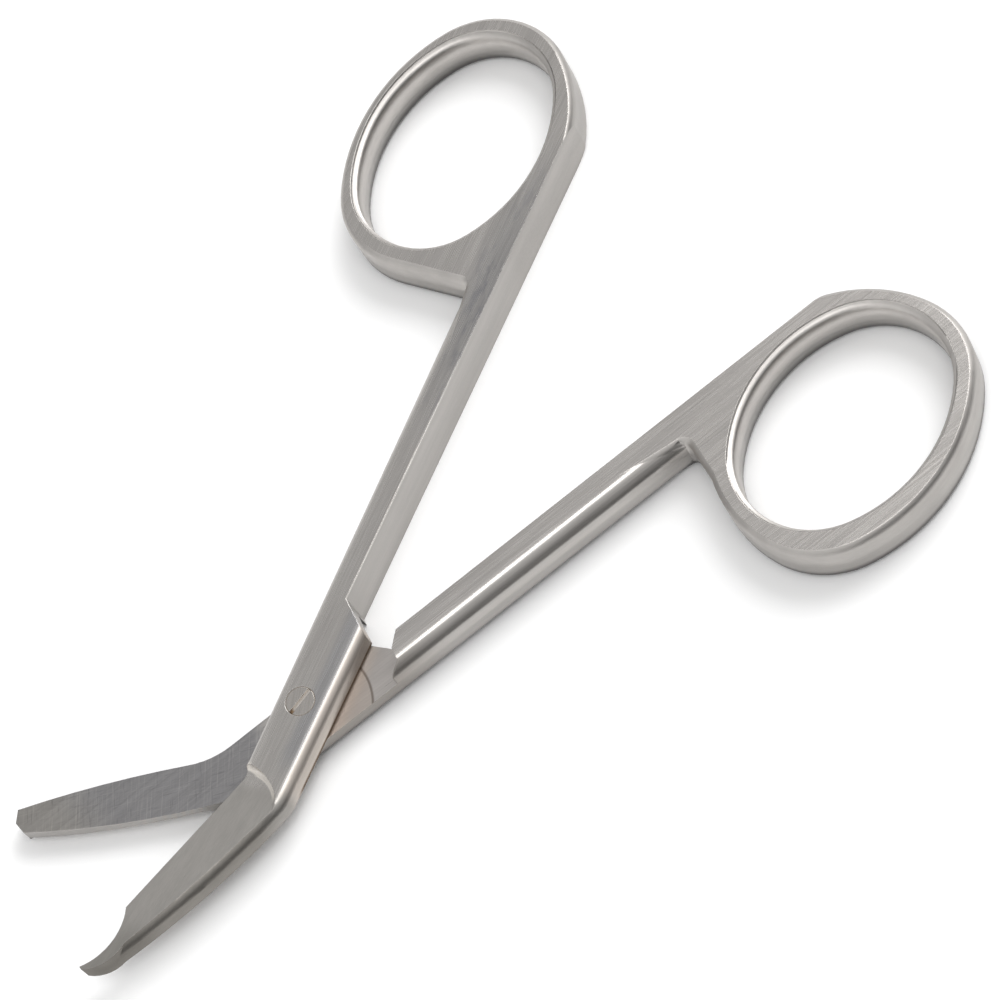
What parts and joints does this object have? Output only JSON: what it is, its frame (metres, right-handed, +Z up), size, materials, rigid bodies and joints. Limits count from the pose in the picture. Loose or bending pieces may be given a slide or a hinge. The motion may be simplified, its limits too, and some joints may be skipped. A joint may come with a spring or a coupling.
{
  "type": "operating scissors",
  "caption": "Small steel operating scissors with bent blades, a thread hook at the tip of the upper blade, oval finger rings and a slotted pivot screw.",
  "frame": {"origin": "on the pivot axis, at the underside that lies on the table", "axes": "+X midway between the two finger rings, +Y towards the hooked half's ring, +Z up through the pivot screw's head"},
  "size_m": [0.0941, 0.0698, 0.005],
  "materials": {
    "forged_steel": "satin, brushed on the flats and smoother on the rounded edges",
    "screw_steel": "satin, filed flush"
  },
  "bodies": {
    "lower": {"plain_half": "forged_steel", "pivot_screw": "screw_steel"},
    "upper": {"hooked_half": "forged_steel"}
  },
  "joints": [
    {"name": "pivot", "type": "hinge", "parent": "lower", "child": "upper", "pos_m": [0, 0, 0.0025], "axis": [0, 0, 1], "range_deg": [-30.1, 95]}
  ]
}
